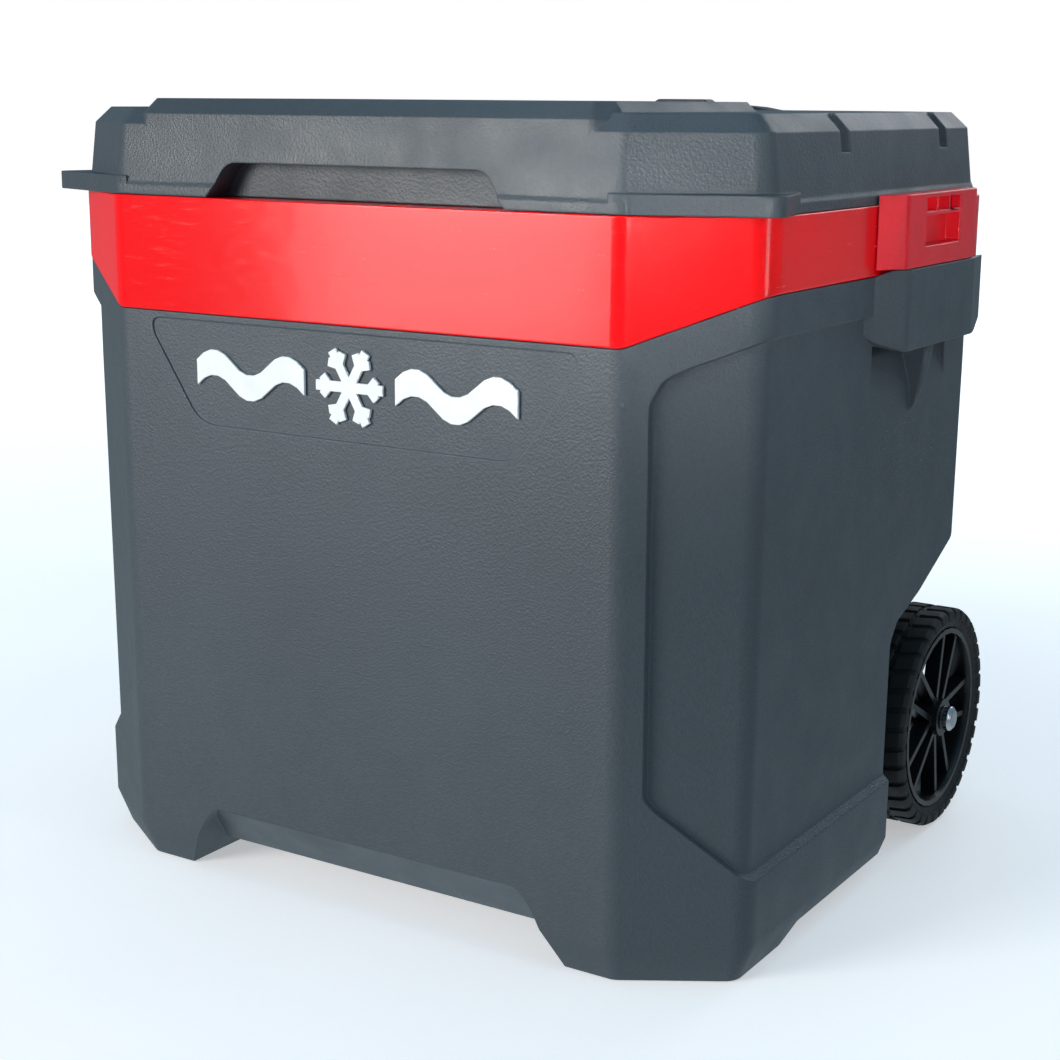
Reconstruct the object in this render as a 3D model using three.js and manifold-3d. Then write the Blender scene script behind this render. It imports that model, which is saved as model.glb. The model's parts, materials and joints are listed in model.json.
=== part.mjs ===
// Rolling cooler chest: insulated tub, hinged lid, two rear wheels and a telescoping pull handle.
// Millimetres, +Z up. While shaping, y is measured back from the front face of the body;
// every finished mesh is then moved so that the origin lies on the floor under the middle.
import * as THREE from 'three';
import { mergeVertices } from 'three/addons/utils/BufferGeometryUtils.js';
import Module from 'manifold-3d';

const wasm = await Module();
wasm.setup();

// ---- driving dimensions ----
const MID_Y = 245.4;
const HALF_W = 284;
const FRONT_HALF = 206;
const REAR_HALF = 222;
const BODY_REAR = 450;
const FRONT_CUT = 48;
const REAR_CUT = 38;
const RIM_Z = 500;
const UNDER_Z = 12;
const FOOT_Z = 27;
const FOOT_INSET = 10;
const TAPER = 0.0065;
const TAPER_Z = 420;
const SKIN = 4;
const WALL = 48;
const LINER = 2.5;
const FLOOR_Z = 62;
const GAP = 0.4;

const SEAM_Z = 420;
const SEAM_SIDE_Z = 457;
const PANEL_DEPTH = 5;

const LID_Z = 500.4;
const LID_REAR = 438;
const LID_TOP = 560;
const PLATEAU_TOP = 566.5;
const PLATEAU_HALF = 187;
const PLATEAU_REAR = 215;
const HINGE_Y = 410;
const HINGE_Z = 530;
const HINGE_X = 170;
const HINGE_SWEEP = 29.5;
const POCKET_HALF = 24;
const PIN_R = 3;

const WHEEL_R = 88;
const WHEEL_Y = 404;
const WHEEL_IN = 238;
const WHEEL_OUT = 280;
const RIM_R = 72;
const AXLE_R = 5;
const WELL_X = 225;
const WELL_Y = 285;
const CHANNEL_Y = 388;
const CHANNEL_Z = 106;

const TUBE_X = 88;
const TUBE_Y = 467;
const TUBE_R = 10;
const TUBE_WALL = 1.2;
const TUBE_LOW = 122;
const TUBE_HIGH = 506;
const INNER_R = 8.3;

const BLOCK_X = 300;
const BLOCK_Y = 289;
const BLOCK_TOP = 507;
const DRAIN_Y = 150;
const DRAIN_Z = 89;
const DRAIN_SEAT = 270;

// ---- materials ----
function plastic(color, roughness, metalness = 0) {
  return { color, roughness, metalness };
}
const SLATE = plastic(0x3f4a52, 0.62);
const LID_GREY = plastic(0x4c565d, 0.6);
const RED = plastic(0xd80a18, 0.22);
const RED_SATIN = plastic(0xc02030, 0.45);
const WHITE = plastic(0xf2f3f3, 0.4);
const LINER_WHITE = plastic(0xe9ebea, 0.38);
const FOAM = plastic(0xe6dcb4, 0.95);
const BLACK = plastic(0x16181a, 0.5);
const RUBBER = plastic(0x1c1d1e, 0.88);
const STEEL = plastic(0xb9bcbf, 0.28, 1);
const TUBE_GREY = plastic(0x8d9194, 0.35, 1);
const SEAL = plastic(0x2a2c2d, 0.8);

// ---- solids ----
function solid(geometry) {
  const bare = geometry.index ? geometry.toNonIndexed() : geometry.clone();
  for (const name of Object.keys(bare.attributes)) {
    if (name !== 'position') bare.deleteAttribute(name);
  }
  const merged = mergeVertices(bare, 1e-4);
  return new wasm.Manifold(new wasm.Mesh({
    numProp: 3,
    vertProperties: new Float32Array(merged.attributes.position.array),
    triVerts: new Uint32Array(merged.index.array),
  }));
}

function toGeometry(manifold) {
  const mesh = manifold.getMesh();
  const geometry = new THREE.BufferGeometry();
  geometry.setAttribute('position', new THREE.BufferAttribute(new Float32Array(mesh.vertProperties), 3));
  geometry.setIndex(new THREE.BufferAttribute(new Uint32Array(mesh.triVerts), 1));
  return geometry;
}

function union(...parts) {
  return parts.reduce((sum, part) => sum.add(part));
}

function cut(base, ...parts) {
  return parts.reduce((rest, part) => rest.subtract(part), base);
}

function mirrored(manifold) {
  const geometry = toGeometry(manifold);
  geometry.scale(-1, 1, 1);
  const index = geometry.index.array;
  for (let i = 0; i < index.length; i += 3) {
    const swap = index[i];
    index[i] = index[i + 1];
    index[i + 1] = swap;
  }
  return solid(geometry);
}

function bothSides(manifold) {
  return manifold.add(mirrored(manifold));
}

function outline(points) {
  return new THREE.Shape(points.map(([u, v]) => new THREE.Vector2(u, v)));
}

function extruded(shape, depth, curveSegments) {
  return new THREE.ExtrudeGeometry(shape, { depth, bevelEnabled: false, curveSegments });
}

// Outline in (x, y), raised from z0 to z1.
function prismZ(shape, z0, z1, curveSegments = 4) {
  return solid(extruded(shape, z1 - z0, curveSegments).translate(0, 0, z0));
}

// Outline in (x, z), running back from y0 to y1.
function prismY(shape, y0, y1, curveSegments = 4) {
  return solid(extruded(shape, y1 - y0, curveSegments).rotateX(Math.PI / 2).translate(0, y1, 0));
}

// Outline in (y, z), running from x0 to x1.
function prismX(shape, x0, x1, curveSegments = 4) {
  const turn = new THREE.Matrix4().makeBasis(
    new THREE.Vector3(0, 1, 0),
    new THREE.Vector3(0, 0, 1),
    new THREE.Vector3(1, 0, 0),
  );
  return solid(extruded(shape, x1 - x0, curveSegments).applyMatrix4(turn).translate(x0, 0, 0));
}

function box(x0, x1, y0, y1, z0, z1) {
  const geometry = new THREE.BoxGeometry(x1 - x0, y1 - y0, z1 - z0);
  return solid(geometry.translate((x0 + x1) / 2, (y0 + y1) / 2, (z0 + z1) / 2));
}

function rodX(radius, x0, x1, y, z, segments = 16) {
  const geometry = new THREE.CylinderGeometry(radius, radius, x1 - x0, segments);
  return solid(geometry.rotateZ(Math.PI / 2).translate((x0 + x1) / 2, y, z));
}

function rodY(radius, y0, y1, x, z, segments = 16) {
  const geometry = new THREE.CylinderGeometry(radius, radius, y1 - y0, segments);
  return solid(geometry.translate(x, (y0 + y1) / 2, z));
}

function rodZ(radius, z0, z1, x, y, segments = 16) {
  const geometry = new THREE.CylinderGeometry(radius, radius, z1 - z0, segments);
  return solid(geometry.rotateX(Math.PI / 2).translate(x, y, (z0 + z1) / 2));
}

// Profile of [radius, height] pairs from axis to axis, turned about a line along x.
function turnedX(profile, y, z, segments) {
  const points = profile.map(([radius, height]) => new THREE.Vector2(radius, height));
  const geometry = new THREE.LatheGeometry(points, segments);
  return solid(geometry.rotateZ(-Math.PI / 2).translate(0, y, z));
}

// ---- plan outlines ----
// Eight-cornered plan, shrunk by inset, every corner rounded.
function planRing(plan, inset, z, radiusScale = 1, steps = 2) {
  const { half, frontHalf, rearHalf, front, rear, frontCut, rearCut } = plan;
  const corners = [
    [-frontHalf, front], [frontHalf, front],
    [half, front + frontCut], [half, rear - rearCut],
    [rearHalf, rear], [-rearHalf, rear],
    [-half, rear - rearCut], [-half, front + frontCut],
  ].map(([x, y]) => new THREE.Vector2(x, y));
  const count = corners.length;
  const direction = corners.map((p, i) => corners[(i + 1) % count].clone().sub(p).normalize());
  const ring = [];
  corners.forEach((p, i) => {
    const into = direction[(i + count - 1) % count];
    const out = direction[i];
    const turn = Math.acos(into.dot(out));
    const inward = new THREE.Vector2(-into.y - out.y, into.x + out.x).normalize();
    const corner = p.clone().addScaledVector(inward, inset / Math.cos(turn / 2));
    const radius = Math.max(24 - inset, 14) * radiusScale;
    const centre = corner.clone().addScaledVector(inward, radius / Math.cos(turn / 2));
    const start = Math.atan2(-into.x, into.y);
    for (let k = 0; k <= steps; k += 1) {
      const angle = start + (turn * k) / steps;
      ring.push(new THREE.Vector3(centre.x + radius * Math.cos(angle), centre.y + radius * Math.sin(angle), z));
    }
  });
  return ring;
}

// Closed skin through convex rings of equal length, lowest first.
function loft(rings) {
  const count = rings[0].length;
  const positions = rings.flat().flatMap((p) => [p.x, p.y, p.z]);
  const index = [];
  for (let level = 0; level + 1 < rings.length; level += 1) {
    for (let i = 0; i < count; i += 1) {
      const a = level * count + i;
      const b = level * count + ((i + 1) % count);
      index.push(a, b, b + count, a, b + count, a + count);
    }
  }
  const top = (rings.length - 1) * count;
  for (let i = 1; i + 1 < count; i += 1) {
    index.push(0, i + 1, i);
    index.push(top, top + i, top + i + 1);
  }
  const geometry = new THREE.BufferGeometry();
  geometry.setAttribute('position', new THREE.BufferAttribute(new Float32Array(positions), 3));
  geometry.setIndex(index);
  return solid(geometry);
}

const BODY_PLAN = {
  half: HALF_W,
  frontHalf: FRONT_HALF,
  rearHalf: REAR_HALF,
  front: 0,
  rear: BODY_REAR,
  frontCut: FRONT_CUT,
  rearCut: REAR_CUT,
};

const LID_PLAN = { ...BODY_PLAN, half: HALF_W - 0.5, rear: LID_REAR };

function bodyInset(z) {
  const foot = z < FOOT_Z ? (FOOT_INSET * (FOOT_Z - z)) / FOOT_Z : 0;
  return Math.max(TAPER_Z - z, 0) * TAPER + foot;
}

function bodyLoft(inset, low, high) {
  const levels = [low, FOOT_Z + Math.max(inset, 0), TAPER_Z, high].filter((z) => z >= low && z <= high);
  return loft(levels.map((z) => planRing(BODY_PLAN, inset + bodyInset(z), z)));
}

// ---- features cut into the body, grown by d for the layers inside ----
function archCut(d) {
  const across = new THREE.Shape();
  across.moveTo(-166 - d, -2);
  across.lineTo(-150 - d, 28 + d);
  across.quadraticCurveTo(-137 - d, 54.5 + d, -122, 54.5 + d);
  across.lineTo(122, 54.5 + d);
  across.quadraticCurveTo(137 + d, 54.5 + d, 150 + d, 28 + d);
  across.lineTo(166 + d, -2);
  const along = outline([
    [-5, -2], [-5, 60 + 1.4 * d], [43 + 0.4 * d, UNDER_Z + d], [BODY_REAR + 10, UNDER_Z + d], [BODY_REAR + 10, -2],
  ]);
  return prismY(across, -6, BODY_REAR + 12).intersect(prismX(along, -200, 200));
}

function underCut(d) {
  const side = outline([[118 - d, -2], [140 - d, UNDER_Z + d], [470, UNDER_Z + d], [470, -2]]);
  return prismX(side, -320, 320);
}

function wheelWell(d) {
  const side = outline([
    [WELL_Y - d, -2], [WELL_Y - d, 178 + d * 0.6], [WELL_Y + 12 - d * 0.6, 192 + d],
    [338, 206 + d], [403, 237 + d], [412, 252 + d], [470, 272 + d], [470, -2],
  ]);
  return bothSides(prismX(side, WELL_X - d, 320));
}

function axleChannel(d) {
  return box(-WELL_X - 1, WELL_X + 1, CHANNEL_Y - d, 470, -2, CHANNEL_Z + d);
}

function panelCut(d) {
  const edge = outline([
    [222 - d, 130 - d], [228 - d, 122 - d], [284, 70 - d], [320, 64 - d], [320, 434 + d],
    [300, 434 + d], [284, 427 + d], [239, 407 + d], [229 - d, 401 + d], [222 - d, 386 + d],
  ]);
  const region = bothSides(prismY(edge, -2, 470));
  return cut(region, bodyLoft(PANEL_DEPTH + d, 0, RIM_Z + 10));
}

function gripRecess(d) {
  const section = outline([
    [262 - d, 438 + d], [262 - d, 410 - d * 0.3], [272 - d, 396 - d], [286, 344 - d * 1.3], [296, 344 - d * 1.3],
    [296, 438 + d],
  ]);
  const plan = outline([
    [250, BLOCK_Y - 68 - d], [284.5, BLOCK_Y - 68 - d], [296, BLOCK_Y - 49 - d], [296, BLOCK_Y + 63 + d],
    [288, BLOCK_Y + 72 + d], [250, BLOCK_Y + 72 + d],
  ]);
  return bothSides(prismY(section, 180, 400).intersect(prismZ(plan, 330, 450)));
}

function drainRecess(d) {
  return rodX(27 + d, -320, -DRAIN_SEAT + d, DRAIN_Y, DRAIN_Z, 24);
}

function bodyHull(d, high) {
  const low = d > 0 ? UNDER_Z + d : 0;
  return cut(
    bodyLoft(d, low, high),
    archCut(d), underCut(d), wheelWell(d), axleChannel(d), panelCut(d), gripRecess(d), drainRecess(d),
  );
}

// Region above the joint line between shell and collar, lifted by shift.
function aboveSeam(shift) {
  const side = SEAM_SIDE_Z + shift;
  const front = SEAM_Z + shift;
  const edge = outline([
    [-330, side], [-292, side], [-284, side - 4], [-FRONT_HALF - 1, front],
    [FRONT_HALF + 1, front], [284, side - 4], [292, side], [330, side], [330, 620], [-330, 620],
  ]);
  return prismY(edge, -20, 520);
}

// ---- body parts ----
function gripScoop() {
  const plan = outline([
    [276, BLOCK_Y - 88], [284, BLOCK_Y - 81], [BLOCK_X, BLOCK_Y - 58],
    [BLOCK_X, BLOCK_Y + 68], [292, BLOCK_Y + 108], [276, BLOCK_Y + 118],
  ]);
  const face = outline([
    [BLOCK_Y - 90, 430], [BLOCK_Y - 84, 410], [BLOCK_Y - 60, 401], [BLOCK_Y + 80, 401],
    [BLOCK_Y + 112, 414], [BLOCK_Y + 120, 436], [BLOCK_Y + 120, SEAM_SIDE_Z - GAP],
    [BLOCK_Y - 90, SEAM_SIDE_Z - GAP],
  ]);
  return bothSides(prismZ(plan, 380, SEAM_SIDE_Z - GAP).intersect(prismX(face, 270, 310)));
}

// Gusset under the grip: rounded nose that runs back into the wall as it goes down.
function gripRib() {
  const middle = BLOCK_Y + 7;
  const levels = [[350, 280, 1.5], [362, 286, 3], [380, 291, 4.4], [402, 294.5, 5], [440, 296, 5]];
  const rings = levels.map(([z, nose, w]) => [
    new THREE.Vector3(258, middle - w, z), new THREE.Vector3(nose - w, middle - w, z),
    new THREE.Vector3(nose - w * 0.3, middle - w * 0.7, z), new THREE.Vector3(nose, middle, z),
    new THREE.Vector3(nose - w * 0.3, middle + w * 0.7, z), new THREE.Vector3(nose - w, middle + w, z),
    new THREE.Vector3(258, middle + w, z),
  ]);
  return bothSides(loft(rings));
}

function badgePanel() {
  const shape = new THREE.Shape();
  shape.moveTo(-168, 415);
  shape.quadraticCurveTo(-180, 415, -174, 402);
  shape.lineTo(-142, 354);
  shape.quadraticCurveTo(-134, 342, -118, 342);
  shape.lineTo(118, 342);
  shape.quadraticCurveTo(134, 342, 142, 354);
  shape.lineTo(174, 402);
  shape.quadraticCurveTo(180, 415, 168, 415);
  return prismY(shape, -5, 1.5, 3);
}

function outerShell() {
  const skin = union(bodyHull(0, RIM_Z + 4), gripScoop());
  const hollow = bodyHull(SKIN, RIM_Z + 8);
  const opened = cut(skin, gripRecess(0), hollow, aboveSeam(-GAP), badgePanel());
  const ribbed = union(opened, cut(gripRib(), hollow));
  return cut(ribbed, rodX(14.4, -290, -200, DRAIN_Y, DRAIN_Z, 20));
}

function tubSolid(grow) {
  const low = FLOOR_Z - grow;
  const levels = [[low, 5], [low + 10, 0], [TAPER_Z, 0], [RIM_Z + 12, 0]];
  const tub = loft(levels.map(([z, extra]) => (
    planRing(BODY_PLAN, WALL - grow + extra + Math.max(TAPER_Z - z, 0) * TAPER, z, 1.6)
  )));
  const far = WALL - SKIN - grow;
  const wellSide = outline([
    [WELL_Y - far, 0], [WELL_Y - far, 196 + far * 0.8], [WELL_Y + 12 - far * 0.5, 206 + far * 0.8],
    [403, 244 + far], [470, 272 + far], [470, 0],
  ]);
  const wells = bothSides(prismX(wellSide, WELL_X - far, 320));
  const channel = box(-320, 320, CHANNEL_Y - far, 470, 0, CHANNEL_Z + far);
  return cut(tub, wells, channel);
}

function innerLiner() {
  const pan = cut(tubSolid(LINER), tubSolid(0), box(-320, 320, -20, 520, 495.6, 560));
  const flange = cut(bodyLoft(20, 492.6, 495.6), bodyLoft(WALL, 480, 520));
  return cut(union(pan, flange), rodX(14.4, -290, -200, DRAIN_Y, DRAIN_Z, 20));
}

function foamCore() {
  const outside = bodyHull(SKIN + 0.3, 492.2);
  const upper = cut(box(-330, 330, -20, 520, SEAM_Z - 16, 560), bodyLoft(7, 380, 560));
  const filled = cut(outside, upper, tubSolid(LINER + 0.3));
  return cut(filled, rodX(14.5, -290, -200, DRAIN_Y, DRAIN_Z, 20));
}

function topCollar() {
  const outside = bodyLoft(-0.6, 380, RIM_Z);
  const wall = cut(outside, bodyLoft(2.6, 370, 510)).intersect(aboveSeam(0));
  const ledge = cut(outside, bodyLoft(6.6, 370, 510), aboveSeam(3.4)).intersect(aboveSeam(0));
  const tongue = cut(bodyLoft(4.4, 380, 480), bodyLoft(6.6, 370, 510), aboveSeam(3.4)).intersect(aboveSeam(-7));
  const rim = cut(bodyLoft(-0.6, 496, RIM_Z), bodyLoft(WALL, 480, 520));
  return union(wall, ledge, tongue, rim);
}

function sideHandle() {
  const plan = outline([
    [285.2, BLOCK_Y - 84], [BLOCK_X, BLOCK_Y - 66], [BLOCK_X, BLOCK_Y + 66], [285.2, BLOCK_Y + 84],
  ]);
  const block = prismZ(plan, SEAM_SIDE_Z + 0.2, BLOCK_TOP);
  const window = box(289, BLOCK_X + 2, BLOCK_Y - 33, BLOCK_Y + 33, 471, 491.5);
  const cells = [-22.5, 0, 22.5].map((y) => (
    box(289, BLOCK_X + 2, BLOCK_Y + y - 10, BLOCK_Y + y + 10, 494.5, 503.5)
  ));
  return cut(block, window, ...cells);
}

function snowflake() {
  const arms = [];
  for (let i = 0; i < 3; i += 1) {
    const bar = outline([[-28, -3.6], [28, -3.6], [28, 3.6], [-28, 3.6]]);
    arms.push(extruded(bar, 2.4, 1).rotateZ((i * Math.PI) / 3));
  }
  for (let i = 0; i < 6; i += 1) {
    const tip = outline([[12.5, 0], [20.3, 8.8], [25, 4.8], [20.6, 0], [25, -4.8], [20.3, -8.8]]);
    arms.push(extruded(tip, 2.4, 1).rotateZ((i * Math.PI) / 3));
  }
  const flat = arms.map((geometry) => solid(geometry.rotateX(Math.PI / 2).translate(0, 1.2, 379)));
  return union(...flat);
}

function wave(side) {
  const shape = new THREE.Shape();
  const step = 32;
  const start = side > 0 ? 38 : -38 - 3 * step;
  const crest = (k) => (k % 2 === 0 ? 16 : -16);
  shape.moveTo(start, 388);
  for (let k = 0; k < 3; k += 1) {
    shape.quadraticCurveTo(start + (k + 0.5) * step, 388 + crest(k), start + (k + 1) * step, 388);
  }
  shape.lineTo(start + 3 * step, 370);
  for (let k = 2; k >= 0; k -= 1) {
    shape.quadraticCurveTo(start + (k + 0.5) * step, 370 + crest(k), start + k * step, 370);
  }
  return prismY(shape, -1.2, 1.2, 5);
}

// ---- drain ----
function drainSpout() {
  const outside = union(
    rodX(20, -DRAIN_SEAT - 3.3, -DRAIN_SEAT - 0.3, DRAIN_Y, DRAIN_Z, 24),
    rodX(14, -DRAIN_SEAT - 1, -228, DRAIN_Y, DRAIN_Z, 20),
  );
  return cut(outside, rodX(9.6, -290, -200, DRAIN_Y, DRAIN_Z, 16));
}

function drainNut() {
  return cut(rodX(17, -233.2, -229, DRAIN_Y, DRAIN_Z, 8), rodX(14.3, -290, -200, DRAIN_Y, DRAIN_Z, 20));
}

function drainGasket() {
  return cut(
    rodX(17, -DRAIN_SEAT - 5.6, -DRAIN_SEAT - 3.6, DRAIN_Y, DRAIN_Z, 20),
    rodX(11, -290, -200, DRAIN_Y, DRAIN_Z, 16),
  );
}

function drainCap() {
  const lobes = [];
  for (let i = 0; i < 6; i += 1) {
    const angle = (i * Math.PI) / 3;
    const y = DRAIN_Y + 19.5 * Math.cos(angle);
    const z = DRAIN_Z + 19.5 * Math.sin(angle);
    lobes.push(rodX(4.2, -284, -DRAIN_SEAT - 5, y, z, 8));
  }
  const disc = rodX(19, -283, -DRAIN_SEAT - 5.9, DRAIN_Y, DRAIN_Z, 24);
  return union(cut(disc, ...lobes), rodX(9.1, -DRAIN_SEAT - 6.5, -256, DRAIN_Y, DRAIN_Z, 16));
}

// ---- wheels ----
function axle() {
  return rodX(AXLE_R, -285, 285, WHEEL_Y, WHEEL_R, 16);
}

function axleBracket() {
  const plate = outline([
    [WHEEL_Y - 14, CHANNEL_Z - GAP], [WHEEL_Y - 10, 77], [WHEEL_Y + 10, 77], [WHEEL_Y + 14, CHANNEL_Z - GAP],
  ]);
  return cut(prismX(plate, 190, 206), rodX(AXLE_R + 0.3, 180, 220, WHEEL_Y, WHEEL_R, 16));
}

function tyre() {
  const profile = [
    [RIM_R + 0.3, WHEEL_IN + 6], [81, WHEEL_IN], [WHEEL_R - 2.5, WHEEL_IN + 3], [WHEEL_R, WHEEL_IN + 9],
    [WHEEL_R, WHEEL_OUT - 9], [WHEEL_R - 2.5, WHEEL_OUT - 3], [81, WHEEL_OUT], [RIM_R + 0.3, WHEEL_OUT - 4],
    [RIM_R + 0.3, WHEEL_IN + 6],
  ];
  return turnedX(profile, WHEEL_Y, WHEEL_R, 36);
}

function rim() {
  const hoop = turnedX([
    [RIM_R - 6, WHEEL_IN + 7], [RIM_R, WHEEL_IN + 7], [RIM_R, WHEEL_OUT - 3],
    [RIM_R - 4, WHEEL_OUT - 3], [RIM_R - 6, WHEEL_OUT - 9], [RIM_R - 6, WHEEL_IN + 7],
  ], WHEEL_Y, WHEEL_R, 32);
  const hub = rodX(15, WHEEL_IN - 2, WHEEL_OUT - 1, WHEEL_Y, WHEEL_R, 20);
  const parts = [hoop, hub];
  for (let i = 0; i < 5; i += 1) {
    for (const lean of [-1, 1]) {
      const spoke = new THREE.BoxGeometry(12, RIM_R - 16, 4.4);
      spoke.translate(WHEEL_OUT - 12, (RIM_R + 10) / 2, lean * 5);
      spoke.rotateX((i * Math.PI * 2) / 5 + lean * 0.14);
      parts.push(solid(spoke.translate(0, WHEEL_Y, WHEEL_R)));
    }
  }
  return cut(union(...parts), rodX(AXLE_R + 0.3, 200, 300, WHEEL_Y, WHEEL_R, 16));
}

function washer() {
  return cut(
    rodX(12, WHEEL_IN - 4.4, WHEEL_IN - 2.4, WHEEL_Y, WHEEL_R, 16),
    rodX(AXLE_R + 0.3, 200, 300, WHEEL_Y, WHEEL_R, 16),
  );
}

function axleCap() {
  const shell = turnedX([
    [0, WHEEL_OUT - 0.6], [10, WHEEL_OUT - 0.6], [10, 285.5], [7, 288], [0, 288.5],
  ], WHEEL_Y, WHEEL_R, 20);
  return cut(shell, rodX(AXLE_R + 0.3, 270, 285.3, WHEEL_Y, WHEEL_R, 16));
}

// ---- telescoping handle ----
function bracket(low, high) {
  const plan = new THREE.Shape();
  plan.moveTo(-112, BODY_REAR + 1);
  plan.lineTo(112, BODY_REAR + 1);
  plan.lineTo(112, 472);
  plan.quadraticCurveTo(112, 484, 100, 484);
  plan.lineTo(76, 484);
  plan.quadraticCurveTo(66, 484, 64, 474);
  plan.lineTo(60, 462);
  plan.lineTo(-60, 462);
  plan.lineTo(-64, 474);
  plan.quadraticCurveTo(-66, 484, -76, 484);
  plan.lineTo(-100, 484);
  plan.quadraticCurveTo(-112, 484, -112, 472);
  return prismZ(plan, low, high, 3);
}

function topBracket() {
  const holes = [-TUBE_X, TUBE_X].map((x) => rodZ(TUBE_R + 0.3, 400, 600, x, TUBE_Y, 20));
  const screws = [-40, 40].map((x) => rodY(2.4, 440, 480, x, 484, 10));
  return cut(bracket(466, 508), ...holes, ...screws);
}

function bottomBracket() {
  const holes = [-TUBE_X, TUBE_X].map((x) => rodZ(TUBE_R + 0.3, TUBE_LOW - GAP, 300, x, TUBE_Y, 20));
  const screws = [-40, 40].map((x) => rodY(2.4, 440, 480, x, 131, 10));
  return cut(bracket(116, 148), ...holes, ...screws);
}

function tube(x, radius, low, high) {
  return cut(
    rodZ(radius, low, high, x, TUBE_Y, 20),
    rodZ(radius - TUBE_WALL, low - 2, high + 2, x, TUBE_Y, 16),
  );
}

function grip() {
  const face = new THREE.Shape();
  face.moveTo(-104, 510.4);
  face.lineTo(-74, 510.4);
  face.lineTo(-72, 532);
  face.quadraticCurveTo(-71, 540, -62, 540);
  face.lineTo(62, 540);
  face.quadraticCurveTo(71, 540, 72, 532);
  face.lineTo(74, 510.4);
  face.lineTo(104, 510.4);
  face.lineTo(110, 546);
  face.quadraticCurveTo(111, 554, 100, 557);
  face.lineTo(72, 562);
  face.quadraticCurveTo(52, 564, 30, 564);
  face.lineTo(-30, 564);
  face.quadraticCurveTo(-52, 564, -72, 562);
  face.lineTo(-100, 557);
  face.quadraticCurveTo(-111, 554, -110, 546);
  const side = outline([[452, 505], [452, 556], [458, 570], [476, 570], [482, 556], [482, 505]]);
  const body = prismY(face, 440, 500, 3).intersect(prismX(side, -130, 130));
  const sockets = [-TUBE_X, TUBE_X].map((x) => rodZ(INNER_R + 0.3, 500, 540, x, TUBE_Y, 20));
  return cut(body, ...sockets, box(-28.4, 28.4, TUBE_Y - 8.4, TUBE_Y + 8.4, 546, 580));
}

function releaseButton() {
  const face = outline([[-28, 556], [28, 556], [28, 564], [22, 568], [-22, 568], [-28, 564]]);
  return prismY(face, TUBE_Y - 8, TUBE_Y + 8);
}

function buttonSpring() {
  const turns = 3;
  const low = 546.9;
  const high = 555.1;
  const points = [];
  for (let i = 0; i <= turns * 10; i += 1) {
    const t = i / (turns * 10);
    const angle = t * turns * Math.PI * 2;
    points.push(new THREE.Vector3(5 * Math.cos(angle), TUBE_Y + 5 * Math.sin(angle), low + t * (high - low)));
  }
  const path = new THREE.CatmullRomCurve3(points);
  const wire = new THREE.Shape();
  wire.absarc(0, 0, 0.6, 0, Math.PI * 2);
  const geometry = new THREE.ExtrudeGeometry(wire, { steps: turns * 10, curveSegments: 3, extrudePath: path });
  return solid(geometry);
}

// ---- hinges ----
function hingeBody(x) {
  const base = box(x - 22, x + 22, HINGE_Y - 8, BODY_REAR - 3, RIM_Z + 0.4, RIM_Z + 3.2);
  const web = box(x - 7, x + 7, HINGE_Y - 6, HINGE_Y + 6, RIM_Z + 3, HINGE_Z);
  const knuckle = rodX(7, x - 7, x + 7, HINGE_Y, HINGE_Z, 16);
  const holes = [-14, 14].map((dx) => rodZ(2.4, 490, 520, x + dx, 436, 10));
  return cut(union(base, web, knuckle), rodX(PIN_R + 0.3, x - 30, x + 30, HINGE_Y, HINGE_Z, 12), ...holes);
}

function hingeLid(x) {
  const plate = box(x - 21, x + 21, HINGE_Y - 7, HINGE_Y + 20, HINGE_Z + 7.8, HINGE_Z + 10.6);
  const knuckles = [[x - 20, x - 7.5], [x + 7.5, x + 20]].flatMap(([x0, x1]) => [
    rodX(7, x0, x1, HINGE_Y, HINGE_Z, 16),
    box(x0, x1, HINGE_Y - 6.9, HINGE_Y + 4, HINGE_Z, HINGE_Z + 8),
  ]);
  const holes = [-14, 14].map((dx) => rodZ(2.4, 530, 550, x + dx, HINGE_Y + 14, 10));
  return cut(union(plate, ...knuckles), rodX(PIN_R + 0.3, x - 30, x + 30, HINGE_Y, HINGE_Z, 12), ...holes);
}

function hingePin(x) {
  return rodX(PIN_R, x - 22, x + 22, HINGE_Y, HINGE_Z, 12);
}

// Pan-head screw with its axis along z; head below (up = -1) or above (up = 1) the seat.
function screwZ(x, y, seat, up, length) {
  const head = rodZ(4.2, Math.min(seat, seat + up * 2), Math.max(seat, seat + up * 2), x, y, 10);
  const low = Math.min(seat - up * length, seat + up);
  return union(head, rodZ(1.9, low, low + length + 1, x, y, 6));
}

function screwY(x, z, seat, length) {
  return union(rodY(4.2, seat, seat + 2, x, z, 10), rodY(1.9, seat - length, seat + 1, x, z, 6));
}

// ---- lid ----
function lidInset(z) {
  if (z <= 507) return 0;
  if (z <= 549) return 1.5 + ((z - 507) / 42) * 5;
  return 6.5 + (z - 549);
}

function lidLoft(inset, low, high) {
  const levels = [low, 507, 507.6, 549, high].filter((z, i) => i === 0 || z > low);
  return loft(levels.map((z) => planRing(LID_PLAN, inset + lidInset(z), z)));
}

function plateau(d) {
  const low = 540;
  const rings = [[low, -6], [556, 9.5 - 10.5], [PLATEAU_TOP - d, 9.5]].map(([z, inset]) => {
    const ring = { half: PLATEAU_HALF + 9, frontHalf: PLATEAU_HALF - 6, rearHalf: PLATEAU_HALF - 6 };
    const plan = { ...ring, front: 6, rear: PLATEAU_REAR + 9, frontCut: 14, rearCut: 14 };
    return planRing(plan, Math.max(inset, -0.5) + d, z, 0.3, 1);
  });
  return loft(rings);
}

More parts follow.
